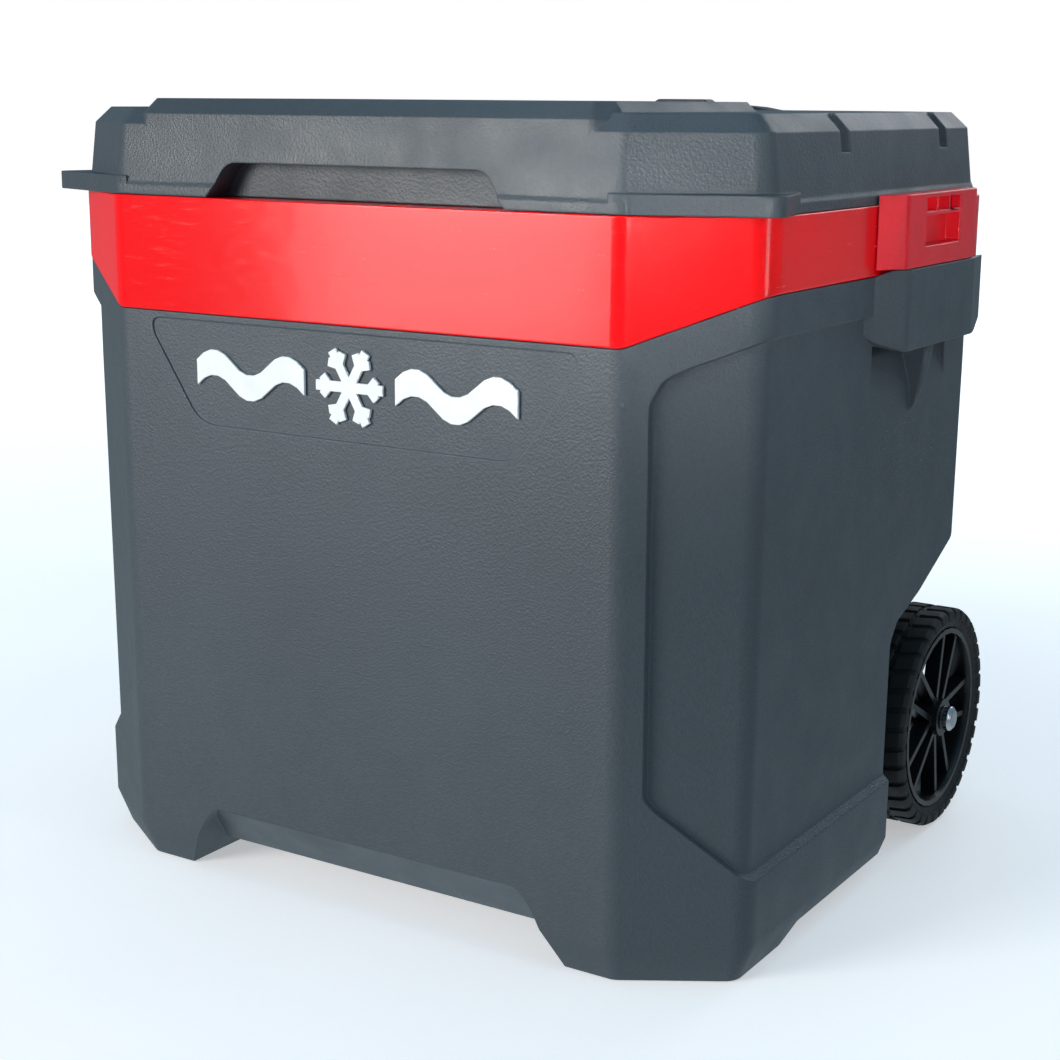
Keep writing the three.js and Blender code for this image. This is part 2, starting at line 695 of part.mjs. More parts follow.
function ear(d) {
  const shape = new THREE.Shape();
  shape.moveTo(196, 0.2 + d);
  shape.lineTo(207, 0.2 + d);
  shape.lineTo(286 - d, 28.5 + d);
  shape.quadraticCurveTo(297 - d, 32, 295 - d, 42);
  shape.lineTo(283 - d, 86);
  shape.lineTo(250, 86);
  shape.lineTo(196, 20);
  return bothSides(prismZ(shape, LID_Z, 513, 3));
}

function fingerRecess(d) {
  const face = new THREE.Shape();
  face.moveTo(-124 - d, 490);
  face.lineTo(-122 - d, 501);
  face.bezierCurveTo(-112 - d, 510 + d, -112, 524 + d, -98, 524 + d);
  face.lineTo(98, 524 + d);
  face.bezierCurveTo(112, 524 + d, 112 + d, 510 + d, 122 + d, 501);
  face.lineTo(124 + d, 490);
  return prismY(face, -5, 22 + d, 5);
}

function strapNotch(d) {
  const section = outline([[262 - d, 566], [262 - d, 560 - d], [270 - d, 548 - d], [272 - d, 536 - d], [300, 534 - d], [300, 566]]);
  const pair = [163, 338].map((y) => prismY(section, y - 7.5 - d, y + 7.5 + d));
  return bothSides(union(...pair));
}

function cupDips(d) {
  const dips = [[-112, 112], [112, 112], [-112, 318], [112, 318]].map(([x, y]) => (
    rodZ(39 + d, (y < PLATEAU_REAR ? PLATEAU_TOP : LID_TOP) - 8 - d, 600, x, y, 18)
  ));
  return union(...dips);
}

function rearRoll(d) {
  const corner = box(-320, 320, HINGE_Y, LID_REAR + 12, 480, HINGE_Z);
  return cut(corner, rodX(HINGE_SWEEP - d, -330, 330, HINGE_Y, HINGE_Z, 28));
}

function hingePocket(d) {
  const half = POCKET_HALF + d;
  return bothSides(box(HINGE_X - half, HINGE_X + half, HINGE_Y - 12 - d, 470, 480, HINGE_Z + 11 + d));
}

function lidHull(d, low) {
  return cut(
    union(lidLoft(d, low, LID_TOP - d), plateau(d)),
    fingerRecess(d), strapNotch(d), cupDips(d), rearRoll(d), hingePocket(d),
  );
}

function lidShell() {
  const outside = union(lidHull(0, LID_Z), cut(ear(0), fingerRecess(0)));
  return cut(outside, lidHull(3, 480));
}

function plug(inset, low, high) {
  const plan = { ...BODY_PLAN, front: 8, rear: BODY_REAR - 6 };
  return loft([low, high].map((z) => planRing(plan, inset, z, 1.4)));
}

function lidLiner() {
  const sheet = lidHull(3.4, 500.8).intersect(box(-320, 320, -20, 520, 500, 503.2));
  const pan = cut(plug(WALL + 6, 486, 503.2), plug(WALL + 8.5, 488.5, 510));
  return union(cut(sheet, plug(WALL + 8.5, 480, 510)), pan);
}

function lidFoam() {
  const slab = lidHull(3.4, 503.6);
  return union(slab, plug(WALL + 9, 489, 504));
}

// ---- assembly ----
const cooler = new THREE.Group();
cooler.name = 'rolling_cooler_chest';

function add(name, manifold, look) {
  const geometry = toGeometry(manifold).translate(0, -MID_Y, 0);
  geometry.computeVertexNormals();
  const mesh = new THREE.Mesh(geometry, new THREE.MeshStandardMaterial({ ...look, flatShading: true }));
  mesh.name = name;
  cooler.add(mesh);
}

function addPair(name, manifold, look) {
  add(`${name}_right`, manifold, look);
  add(`${name}_left`, mirrored(manifold), look);
}

add('outer_shell', outerShell(), SLATE);
add('foam_core', foamCore(), FOAM);
add('inner_liner', innerLiner(), LINER_WHITE);
add('top_collar', topCollar(), RED);
addPair('side_handle', sideHandle(), RED_SATIN);
add('emblem_snowflake', snowflake(), WHITE);
add('emblem_wave_right', wave(1), WHITE);
add('emblem_wave_left', wave(-1), WHITE);

add('drain_spout', drainSpout(), LINER_WHITE);
add('drain_nut', drainNut(), LINER_WHITE);
add('drain_gasket', drainGasket(), SEAL);
add('drain_cap', drainCap(), SLATE);

add('axle', axle(), STEEL);
addPair('axle_bracket', axleBracket(), BLACK);
addPair('tyre', tyre(), RUBBER);
addPair('rim', rim(), BLACK);
addPair('washer', washer(), STEEL);
addPair('axle_cap', axleCap(), STEEL);

add('handle_top_bracket', topBracket(), BLACK);
add('handle_bottom_bracket', bottomBracket(), BLACK);
for (const [side, x] of [['left', -TUBE_X], ['right', TUBE_X]]) {
  add(`outer_tube_${side}`, tube(x, TUBE_R, TUBE_LOW, TUBE_HIGH), TUBE_GREY);
  add(`inner_tube_${side}`, tube(x, INNER_R, TUBE_LOW + 6, 538), STEEL);
}
add('grip', grip(), BLACK);
add('release_button', releaseButton(), BLACK);
add('button_spring', buttonSpring(), STEEL);
for (const [side, x] of [['left', -40], ['right', 40]]) {
  add(`bracket_screw_top_${side}`, screwY(x, 484, 462.3, 10.6), STEEL);
  add(`bracket_screw_bottom_${side}`, screwY(x, 131, 462.3, 10.6), STEEL);
}

add('lid_shell', lidShell(), LID_GREY);
add('lid_foam', lidFoam(), FOAM);
add('lid_liner', lidLiner(), LINER_WHITE);
for (const [side, x] of [['left', -HINGE_X], ['right', HINGE_X]]) {
  add(`hinge_body_${side}`, hingeBody(x), BLACK);
  add(`hinge_lid_${side}`, hingeLid(x), BLACK);
  add(`hinge_pin_${side}`, hingePin(x), STEEL);
  for (const [end, dx] of [['a', -14], ['b', 14]]) {
    add(`hinge_body_screw_${side}_${end}`, screwZ(x + dx, 436, RIM_Z + 3.6, 1, 3), STEEL);
    add(`hinge_lid_screw_${side}_${end}`, screwZ(x + dx, HINGE_Y + 14, HINGE_Z + 7.4, -1, 3), STEEL);
  }
}

export default cooler;
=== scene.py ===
"""Looks of a rolling cooler chest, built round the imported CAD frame. Metres, +Z up."""
import json
import math

import bmesh
import bpy
from mathutils import Matrix, Vector


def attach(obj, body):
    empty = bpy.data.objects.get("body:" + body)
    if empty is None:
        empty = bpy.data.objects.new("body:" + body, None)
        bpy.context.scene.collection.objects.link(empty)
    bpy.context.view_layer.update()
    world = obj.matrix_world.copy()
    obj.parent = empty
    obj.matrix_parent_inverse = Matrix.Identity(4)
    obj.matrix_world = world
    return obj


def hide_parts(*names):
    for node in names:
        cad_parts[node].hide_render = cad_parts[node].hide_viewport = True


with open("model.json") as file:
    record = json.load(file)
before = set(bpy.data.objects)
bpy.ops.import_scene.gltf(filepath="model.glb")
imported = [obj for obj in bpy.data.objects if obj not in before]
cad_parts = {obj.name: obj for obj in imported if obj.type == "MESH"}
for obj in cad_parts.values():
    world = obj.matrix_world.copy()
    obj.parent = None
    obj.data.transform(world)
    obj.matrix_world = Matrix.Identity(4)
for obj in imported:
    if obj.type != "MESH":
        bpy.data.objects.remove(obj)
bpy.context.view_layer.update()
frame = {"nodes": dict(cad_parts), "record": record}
scene = bpy.context.scene

# ---- dimensions of the frame, in millimetres; y is measured back from the body's front face ----
MID_Y = 245.4
RIM_Z = 500
UNDER_Z = 12
FOOT_Z = 27
FOOT_INSET = 10
TAPER = 0.0065
TAPER_Z = 375
SKIN = 4
SHELL_WALL = 5.6
LID_WALL = 5.2
WALL = 48
CORNER_RADIUS = 24
CORNER_LEAST = 14
COLLAR_PROUD = 0.6
GAP = 0.4
SEAM_Z = 420
SEAM_SIDE_Z = 457
PANEL_DEPTH = 5
LID_Z = 500.4
LID_REAR = 438
LID_TOP = 560
PLATEAU_TOP = 566.5
PLATEAU_HALF = 187
PLATEAU_REAR = 215
DIP_X = 112
DIP_Y = (112, 318)
DIP_RADIUS = 39
DIP_DEPTH = 8
STRAP_Y = (163, 338)
STRAP_HALF = 7.5
HINGE_Y = 410
HINGE_Z = 530
HINGE_X = 170
HINGE_SWEEP = 29.5
BLOCK_Y = 289
BLOCK_TOP = 507
BODY_REAR = 450
WHEEL_Y = 404
WHEEL_Z = 88
WELL_X = 225
CHANNEL_Y = 388
CHANNEL_TOP = 106
TREAD_MID = 259
TREAD_HALF = 17
TREAD_BLOCKS = 36
TREAD_LEAN = 0.035
DRAIN_Y = 150
DRAIN_Z = 89
DRAIN_HOLE = 14.4
TUBE_X = 88
TUBE_Y = 467
TUBE_WALL = 1.2
BODY_PLAN = dict(half=284, front_half=206, rear_half=222, front=0, rear=450, front_cut=48, rear_cut=38)
LID_PLAN = dict(BODY_PLAN, half=283.5, rear=LID_REAR)

# ---- rounding: what counts as an edge, in degrees; the folded area that still passes, in square metres,
# which is larger for the shell, as its folds lie hidden in the wall; and the steps in width ----
EDGE_ANGLE = 28
FOLD_LIMIT = 7e-5
SHELL_FOLD_LIMIT = 4e-4
WIDTH_STEPS = 8
WIDTH_STEP = 0.75


# ---- solids ----
def mesh_from(verts, faces):
    mesh = bpy.data.meshes.new("solid")
    mesh.from_pydata(verts, [], faces)
    work = bmesh.new()
    work.from_mesh(mesh)
    bmesh.ops.recalc_face_normals(work, faces=work.faces)
    work.to_mesh(mesh)
    work.free()
    return mesh


def combine(first, second, operation):
    """One new mesh from two closed ones; both stay as they are."""
    a = bpy.data.objects.new("solid_a", first)
    b = bpy.data.objects.new("solid_b", second)
    for item in (a, b):
        scene.collection.objects.link(item)
    change = a.modifiers.new("combine", "BOOLEAN")
    change.operation = operation
    change.solver = "MANIFOLD"
    change.object = b
    result = bpy.data.meshes.new_from_object(a.evaluated_get(bpy.context.evaluated_depsgraph_get()))
    bpy.data.objects.remove(a)
    bpy.data.objects.remove(b)
    return result


def union(first, *rest):
    for item in rest:
        first = combine(first, item, "UNION")
    return first


def cut(first, *rest):
    for item in rest:
        first = combine(first, item, "DIFFERENCE")
    return first


def common(first, second):
    return combine(first, second, "INTERSECT")


def mirrored(mesh):
    verts = [(-v.co.x, v.co.y, v.co.z) for v in mesh.vertices]
    faces = [tuple(reversed(p.vertices)) for p in mesh.polygons]
    return mesh_from(verts, faces)


def both_sides(mesh):
    return union(mesh, mirrored(mesh))


def prism(points, axis, low, high):
    """Outline raised along an axis: (x, y) along z, (x, z) along y, or (y, z) along x."""
    count = len(points)
    place = {
        "z": lambda u, v, w: (u, v, w),
        "y": lambda u, v, w: (u, w, v),
        "x": lambda u, v, w: (w, u, v),
    }[axis]
    verts = [place(u, v, w) for w in (low, high) for u, v in points]
    faces = [tuple(range(count)), tuple(range(count, 2 * count))]
    faces += [(i, (i + 1) % count, (i + 1) % count + count, i + count) for i in range(count)]
    return mesh_from(verts, faces)


def box(x0, x1, y0, y1, z0, z1):
    return prism([(x0, y0), (x1, y0), (x1, y1), (x0, y1)], "z", z0, z1)


def circle(radius, u, v, steps=48, turn=0.0):
    angles = [turn + 2 * math.pi * k / steps for k in range(steps)]
    return [(u + radius * math.cos(a), v + radius * math.sin(a)) for a in angles]


def rod(axis, radius, low, high, u, v, steps=48):
    return prism(circle(radius, u, v, steps), axis, low, high)


def turned(profile, steps, y=WHEEL_Y, z=WHEEL_Z):
    """Closed loop of (radius, x) turned about a line along x."""
    count = len(profile)
    verts = []
    for k in range(steps):
        a = 2 * math.pi * k / steps
        verts += [(x, y + r * math.cos(a), z + r * math.sin(a)) for r, x in profile]
    faces = []
    for k in range(steps):
        m = (k + 1) % steps
        for i in range(count):
            j = (i + 1) % count
            faces.append((k * count + i, k * count + j, m * count + j, m * count + i))
    return mesh_from(verts, faces)


def soft(points, radius, steps=4):
    """The outline with its corners rounded; radius is one number or one for each corner."""
    count = len(points)
    radii = radius if isinstance(radius, (list, tuple)) else [radius] * count
    out = []
    for i, p in enumerate(points):
        here = Vector(p)
        before = Vector(points[i - 1]) - here
        after = Vector(points[(i + 1) % count]) - here
        turn = math.pi - before.angle(after)
        if radii[i] <= 0 or turn < 0.05:
            out.append(tuple(here))
            continue
        reach = min(radii[i] * math.tan(turn / 2), 0.48 * before.length, 0.48 * after.length)
        start = here + before.normalized() * reach
        end = here + after.normalized() * reach
        r = reach / math.tan(turn / 2)
        centre = here + (before.normalized() + after.normalized()).normalized() * (r / math.cos(turn / 2))
        a, b = start - centre, end - centre
        side = 1 if a.x * b.y - a.y * b.x > 0 else -1
        base = math.atan2(a.y, a.x)
        for k in range(steps + 1):
            angle = base + side * turn * k / steps
            out.append((centre.x + r * math.cos(angle), centre.y + r * math.sin(angle)))
    return out


def quadratic(start, control, end, steps=6):
    points = []
    for k in range(1, steps + 1):
        t = k / steps
        points.append(tuple(
            (1 - t) ** 2 * start[i] + 2 * t * (1 - t) * control[i] + t * t * end[i] for i in (0, 1)
        ))
    return points


def cubic(start, one, two, end, steps=10):
    points = []
    for k in range(1, steps + 1):
        t = k / steps
        s = 1 - t
        points.append(tuple(
            s ** 3 * start[i] + 3 * s * s * t * one[i] + 3 * s * t * t * two[i] + t ** 3 * end[i]
            for i in (0, 1)
        ))
    return points


def plan_ring(plan, inset, z, scale=1.0, steps=7):
    """The eight-sided plan set in by inset, with round corners, at height z."""
    fh, rh, half = plan["front_half"], plan["rear_half"], plan["half"]
    front, rear = plan["front"], plan["rear"]
    side_front, side_rear = front + plan["front_cut"], rear - plan["rear_cut"]
    corners = [Vector(c) for c in [
        (-fh, front), (fh, front), (half, side_front), (half, side_rear),
        (rh, rear), (-rh, rear), (-half, side_rear), (-half, side_front),
    ]]
    ring = []
    for i, corner in enumerate(corners):
        into = (corner - corners[i - 1]).normalized()
        out = (corners[(i + 1) % 8] - corner).normalized()
        turn = into.angle(out)
        inward = Vector((-into.y - out.y, into.x + out.x)).normalized()
        radius = max(CORNER_RADIUS - inset, CORNER_LEAST) * scale
        centre = corner + inward * ((inset + radius) / math.cos(turn / 2))
        start = math.atan2(-into.x, into.y)
        for k in range(steps + 1):
            angle = start + turn * k / steps
            ring.append((centre.x + radius * math.cos(angle), centre.y + radius * math.sin(angle), z))
    return ring


def loft(rings):
    """Closed solid through rings of equally many points, from the lowest up."""
    count = len(rings[0])
    verts = [p for ring in rings for p in ring]
    faces = []
    for level in range(len(rings) - 1):
        base = level * count
        for i in range(count):
            j = (i + 1) % count
            faces.append((base + i, base + j, base + j + count, base + i + count))
    faces.append(tuple(range(count)))
    faces.append(tuple(range((len(rings) - 1) * count, len(rings) * count)))
    return mesh_from(verts, faces)


# ---- body shapes; with d above 0 a shape is set in and a cut grows by d, for the hollow in the wall ----
def body_inset(z):
    foot = FOOT_INSET * (FOOT_Z - z) / FOOT_Z if z < FOOT_Z else 0
    return max(TAPER_Z - z, 0) * TAPER + foot


def body_loft(inset, low, high):
    levels = [z for z in (low, FOOT_Z + max(inset, 0), TAPER_Z, high) if low <= z <= high]
    return loft([plan_ring(BODY_PLAN, inset + body_inset(z), z) for z in levels])


def arch_cut(d):
    across = [(-166 - d, -2), (-150 - d, 28 + d)]
    across += quadratic(across[-1], (-137 - d, 54.5 + d), (-122, 54.5 + d), 8)
    across += [(122, 54.5 + d)]
    across += quadratic(across[-1], (137 + d, 54.5 + d), (150 + d, 28 + d), 8)
    across += [(166 + d, -2)]
    along = [
        (-5, -2), (-5, 60 + 1.4 * d), (43 + 0.4 * d, UNDER_Z + d),
        (BODY_REAR + 10, UNDER_Z + d), (BODY_REAR + 10, -2),
    ]
    return common(prism(across, "y", -6, BODY_REAR + 12), prism(along, "x", -200, 200))


def under_cut(d):
    return prism([(118 - d, -2), (140 - d, UNDER_Z + d), (470, UNDER_Z + d), (470, -2)], "x", -320, 320)


def wheel_well(d):
    side = [
        (285 - d, -2), (285 - d, 178 + d * 0.6), (297 - d * 0.6, 192 + d),
        (338, 206 + d), (403, 237 + d), (412, 252 + d), (470, 272 + d), (470, -2),
    ]
    return both_sides(prism(soft(side, [0, 14, 8, 30, 12, 20, 0, 0]), "x", WELL_X - d, 320))


def axle_channel(d):
    return box(-WELL_X - 1, WELL_X + 1, CHANNEL_Y - d, 470, -2, CHANNEL_TOP + d)


def panel_cut(d):
    """Sunk panels of the sides; their inner edge lies further out at the back, clear of the wheel wells."""
    outer = [(292 - d, 62.6 - d), (320, 62.6 - d), (320, 434 + d), (300, 434 + d)]
    front = [(222 - d, 130 - d), (228 - d, 122 - d)] + outer
    front += [(239, 407 + d), (229 - d, 401 + d), (222 - d, 386 + d)]
    rear = [(230 - d, 124 - d), (236 - d, 114.6 - d)] + outer
    rear += [(243, 408.8 + d), (236 - d, 402 + d), (230 - d, 390 + d)]
    panels = union(
        prism(soft(front, [10, 10, 0, 0, 0, 0, 14, 12, 12]), "y", -2, 226),
        prism(soft(rear, [8, 8, 0, 0, 0, 0, 6, 8, 10]), "y", 225, 470),
    )
    return cut(both_sides(panels), body_loft(PANEL_DEPTH + d, 0, RIM_Z + 10))


def grip_recess(d):
    section = [
        (262 - d, 438 + d), (262 - d, 410 - d * 0.3), (272 - d, 396 - d),
        (286, 344 - d * 1.3), (296, 344 - d * 1.3), (296, 438 + d),
    ]
    plan = [
        (250, 221 - d), (284.5, 221 - d), (296, 240 - d), (296, 352 + d), (288, 361 + d), (250, 361 + d),
    ]
    upright = prism(soft(section, [0, 12, 14, 0, 0, 0]), "y", 180, 400)
    level = prism(soft(plan, [0, 8, 8, 8, 8, 0]), "z", 330, 450)
    return both_sides(common(upright, level))


def body_hull(d, high):
    return cut(
        body_loft(d, UNDER_Z + d if d > 0 else 0, high),
        arch_cut(d), under_cut(d), wheel_well(d), axle_channel(d), panel_cut(d), grip_recess(d),
        rod("x", 27 + d, -320, -270 + d, DRAIN_Y, DRAIN_Z),
    )


def above_seam(shift):
    side, front = SEAM_SIDE_Z + shift, SEAM_Z + shift
    edge = [
        (-330, side), (-292, side), (-284, side - 4), (-207, front),
        (207, front), (284, side - 4), (292, side), (330, side), (330, 620), (-330, 620),
    ]
    return prism(soft(edge, [0, 8, 8, 16, 16, 8, 8, 0, 0, 0]), "y", -20, 520)


def grip_scoop():
    plan = [
        (276, BLOCK_Y - 88), (284, BLOCK_Y - 81), (300, BLOCK_Y - 58),
        (300, BLOCK_Y + 68), (292, BLOCK_Y + 108), (276, BLOCK_Y + 118),
    ]
    top = SEAM_SIDE_Z - GAP
    face = [
        (BLOCK_Y - 90, 430), (BLOCK_Y - 84, 410), (BLOCK_Y - 60, 401), (BLOCK_Y + 80, 401),
        (BLOCK_Y + 112, 414), (BLOCK_Y + 120, 436), (BLOCK_Y + 120, top), (BLOCK_Y - 90, top),
    ]
    plan = soft(plan, [0, 0, 14, 18, 18, 0])
    face = soft(face, [8, 12, 20, 24, 20, 10, 0, 0])
    return both_sides(common(prism(plan, "z", 380, top), prism(face, "x", 270, 310)))


def grip_rib():
    middle = BLOCK_Y + 7
    levels = [
        (350, 280, 1.5), (355, 283.4, 2.2), (362, 286, 3), (371, 288.8, 3.8), (380, 291, 4.4),
        (391, 293, 4.8), (402, 294.5, 5), (440, 296, 5),
    ]
    rings = []
    for z, nose, w in levels:
        arc = [math.radians(-90 + 180 * k / 10) for k in range(11)]
        ring = [(258, middle - w, z)]
        ring += [(nose - w + w * math.cos(a), middle + w * math.sin(a), z) for a in arc]
        ring += [(258, middle + w, z)]
        rings.append(ring)
    return both_sides(loft(rings))


def badge_panel():
    shape = [(-168, 415)]
    shape += quadratic(shape[-1], (-180, 415), (-174, 402))
    shape += [(-142, 354)]
    shape += quadratic(shape[-1], (-134, 342), (-118, 342))
    shape += [(118, 342)]
    shape += quadratic(shape[-1], (134, 342), (142, 354))
    shape += [(174, 402)]
    shape += quadratic(shape[-1], (180, 415), (168, 415))
    return prism(shape, "y", -5, 1.5)


def drain_hole():
    return rod("x", DRAIN_HOLE, -290, -200, DRAIN_Y, DRAIN_Z)


def outer_shell():
    skin = union(body_hull(0, RIM_Z + 4), grip_scoop())
    hollow = body_hull(SHELL_WALL, RIM_Z + 8)
    opened = cut(skin, grip_recess(0), hollow, above_seam(-GAP), badge_panel())
    ribbed = union(opened, cut(grip_rib(), hollow))
    return cut(ribbed, drain_hole())


def top_collar():
    outside = body_loft(-COLLAR_PROUD, 380, RIM_Z)
    inside = body_loft(6.6, 370, 510)
    wall = common(cut(outside, body_loft(2.6, 370, 510)), above_seam(0))
    ledge = common(cut(outside, inside, above_seam(3.4)), above_seam(0))
    tongue = common(cut(body_loft(4.4, 380, 480), inside, above_seam(3.4)), above_seam(-7))
    rim = cut(body_loft(-COLLAR_PROUD, 496, RIM_Z), body_loft(WALL, 480, 520))
    return union(wall, ledge, tongue, rim)


def block_window(y, half, low, high, radius):
    """Opening in the grip block's outer face, centred y behind the block's middle."""
    middle = BLOCK_Y + y
    face = [(middle - half, low), (middle + half, low), (middle + half, high), (middle - half, high)]
    return prism(soft(face, radius), "x", 289, 302)


def side_handle():
    plan = [(285.2, BLOCK_Y - 84), (300, BLOCK_Y - 66), (300, BLOCK_Y + 66), (285.2, BLOCK_Y + 84)]
    block = prism(soft(plan, [0, 9, 9, 0]), "z", SEAM_SIDE_Z + 0.2, BLOCK_TOP)
    cells = [block_window(y, 10, 494.5, 503.5, 1) for y in (-22.5, 0, 22.5)]
    return cut(block, block_window(0, 33, 471, 491.5, 2), *cells)


def tub_solid(grow):
    low = 62 - grow
    levels = [(low, 5), (low + 10, 0), (TAPER_Z, 0), (RIM_Z + 12, 0)]
    thick = WALL - grow
    tub = loft([
        plan_ring(BODY_PLAN, thick + extra + max(TAPER_Z - z, 0) * TAPER, z, 1.6) for z, extra in levels
    ])
    far = WALL - SKIN - grow
    side = [
        (285 - far, 0), (285 - far, 196 + far * 0.8), (297 - far * 0.5, 206 + far * 0.8),
        (403, 244 + far), (470, 272 + far), (470, 0),
    ]
    wells = both_sides(prism(soft(side, [0, 16, 16, 20, 0, 0]), "x", WELL_X - far, 320))
    return cut(tub, wells, box(-320, 320, CHANNEL_Y - far, 470, 0, CHANNEL_TOP + far))


def slab(low, high):
    return box(-320, 320, -20, 520, low, high)


def inner_liner():
    pan = cut(tub_solid(2.5), tub_solid(0), slab(495.6, 560))
    flange = cut(body_loft(20, 492.6, 495.6), body_loft(WALL, 480, 520))
    return cut(union(pan, flange), drain_hole())


def plug(inset, low, high):
    plan = dict(BODY_PLAN, front=8, rear=BODY_REAR - 6)
    return loft([plan_ring(plan, inset, z, 1.4) for z in (low, high)])


def lid_liner():
    sheet = common(lid_hull(3.4, 500.8), slab(500, 503.2))
    pan = cut(plug(WALL + 6, 486, 503.2), plug(WALL + 8.5, 488.5, 510))
    return union(cut(sheet, plug(WALL + 8.5, 480, 510)), pan)


# ---- lid shapes ----
LID_FOOT = ((500.4, 0.0), (505.5, 0.0), (507.0, 0.35), (508.5, 1.15), (510.5, 1.92), (549.0, 6.5))


def lid_loft(inset, low, high):
    levels = [(low, 0.0)] + [pair for pair in LID_FOOT if pair[0] > low] + [(high, high - 542.5)]
    return loft([plan_ring(LID_PLAN, inset + extra, z) for z, extra in levels])


def plateau(d):
    plan = dict(
        half=PLATEAU_HALF + 9, front_half=PLATEAU_HALF - 6, rear_half=PLATEAU_HALF - 6,
        front=6, rear=PLATEAU_REAR + 9, front_cut=14, rear_cut=14,
    )
    levels = [(540, -0.5), (556, -0.5), (PLATEAU_TOP - d, 9.5)]
    return loft([plan_ring(plan, inset + d, z, 0.3, 4) for z, inset in levels])


def ear(d):
    shape = [(196, 0.2 + d), (207, 0.2 + d), (286 - d, 28.5 + d)]
    shape += quadratic(shape[-1], (297 - d, 32), (295 - d, 42), 8)
    shape += [(283 - d, 86), (250, 86), (196, 20)]
    return both_sides(prism(shape, "z", LID_Z, 513))


def finger_recess(d):
    face = [(-124 - d, 490), (-122 - d, 501)]
    face += cubic(face[-1], (-112 - d, 510 + d), (-112, 524 + d), (-98, 524 + d))
    face += [(98, 524 + d)]
    face += cubic(face[-1], (112, 524 + d), (112 + d, 510 + d), (122 + d, 501))
    face += [(124 + d, 490)]
    return prism(face, "y", -5, 22 + d)


def strap_notch(d):
    section = [
        (262 - d, 566), (262 - d, 560 - d), (270 - d, 548 - d),
        (272 - d, 536 - d), (300, 534 - d), (300, 566),
    ]
    section = soft(section, [0, 3, 8, 4, 0, 0])
    notches = [prism(section, "y", y - STRAP_HALF - d, y + STRAP_HALF + d) for y in STRAP_Y]
    return both_sides(union(*notches))


def cup_dips(d):
    dips = []
    for y in DIP_Y:
        top = PLATEAU_TOP if y < PLATEAU_REAR else LID_TOP
        dips += [rod("z", DIP_RADIUS + d, top - DIP_DEPTH - d, 600, x, y, 64) for x in (-DIP_X, DIP_X)]
    return union(*dips)


def rear_roll(d):
    corner = box(-320, 320, HINGE_Y, LID_REAR + 12, 480, HINGE_Z)
    return cut(corner, rod("x", HINGE_SWEEP - d, -330, 330, HINGE_Y, HINGE_Z, 72))


def hinge_pocket(d):
    half = 24 + d
    return both_sides(box(HINGE_X - half, HINGE_X + half, HINGE_Y - 12 - d, 470, 480, HINGE_Z + 11 + d))


def lid_hull(d, low):
    return cut(
        union(lid_loft(d, low, LID_TOP - d), plateau(d)),
        finger_recess(d), strap_notch(d), cup_dips(d), rear_roll(d), hinge_pocket(d),
    )


def lid_shell():
    outside = union(lid_hull(0, LID_Z), cut(ear(0), finger_recess(0)))
    return cut(outside, lid_hull(LID_WALL, 480))


# ---- wheels and tubes ----
def tread_block(start, width, mirror):
    """One block on the inner half of the tread, or on the outer half when mirrored: points and faces."""
    profile = [
        (79, 239.2), (80, 238.3), (85, 238.6), (86.4, 239.4), (88, 242),
        (88, 256.6), (84, 257), (84, 244), (79, 242),
    ]
    if mirror:
        profile = [(r, 2 * TREAD_MID - x) for r, x in profile]
    verts, faces = [], []
    count = len(profile)
    for k in range(3):
        angle = start + width * k / 2
        lean = (-1 if mirror else 1) * TREAD_LEAN
        for r, x in profile:
            a = angle + lean * abs(x - TREAD_MID) / TREAD_HALF
            verts.append((x, WHEEL_Y + r * math.cos(a), WHEEL_Z + r * math.sin(a)))
    for k in range(2):
        for i in range(count):
            j = (i + 1) % count
            faces.append((k * count + i, k * count + j, (k + 1) * count + j, (k + 1) * count + i))
    faces += [tuple(range(count)), tuple(range(2 * count, 3 * count))]
    return verts, faces


def tyre():
    body = turned([
        (72.3, 244), (76, 240.5), (80.5, 238.9), (84, 239.6), (85.4, 242), (85.8, 246), (85.8, 272),
        (85.4, 276), (84, 278.4), (80.5, 279.1), (76, 277.5), (72.3, 276),
    ], 144)
    pitch = 2 * math.pi / TREAD_BLOCKS
    for mirror in (False, True):
        verts, faces = [], []
        for k in range(TREAD_BLOCKS):
            more, sides = tread_block(pitch * (k + (0.5 if mirror else 0)), pitch * 0.7, mirror)
            faces += [tuple(i + len(verts) for i in side) for side in sides]
            verts += more
        body = union(body, mesh_from(verts, faces))
    return body


def tube(x, radius, low, high):
    bore = rod("z", radius - TUBE_WALL, low - 2, high + 2, x, TUBE_Y, 56)
    return cut(rod("z", radius, low, high, x, TUBE_Y, 56), bore)


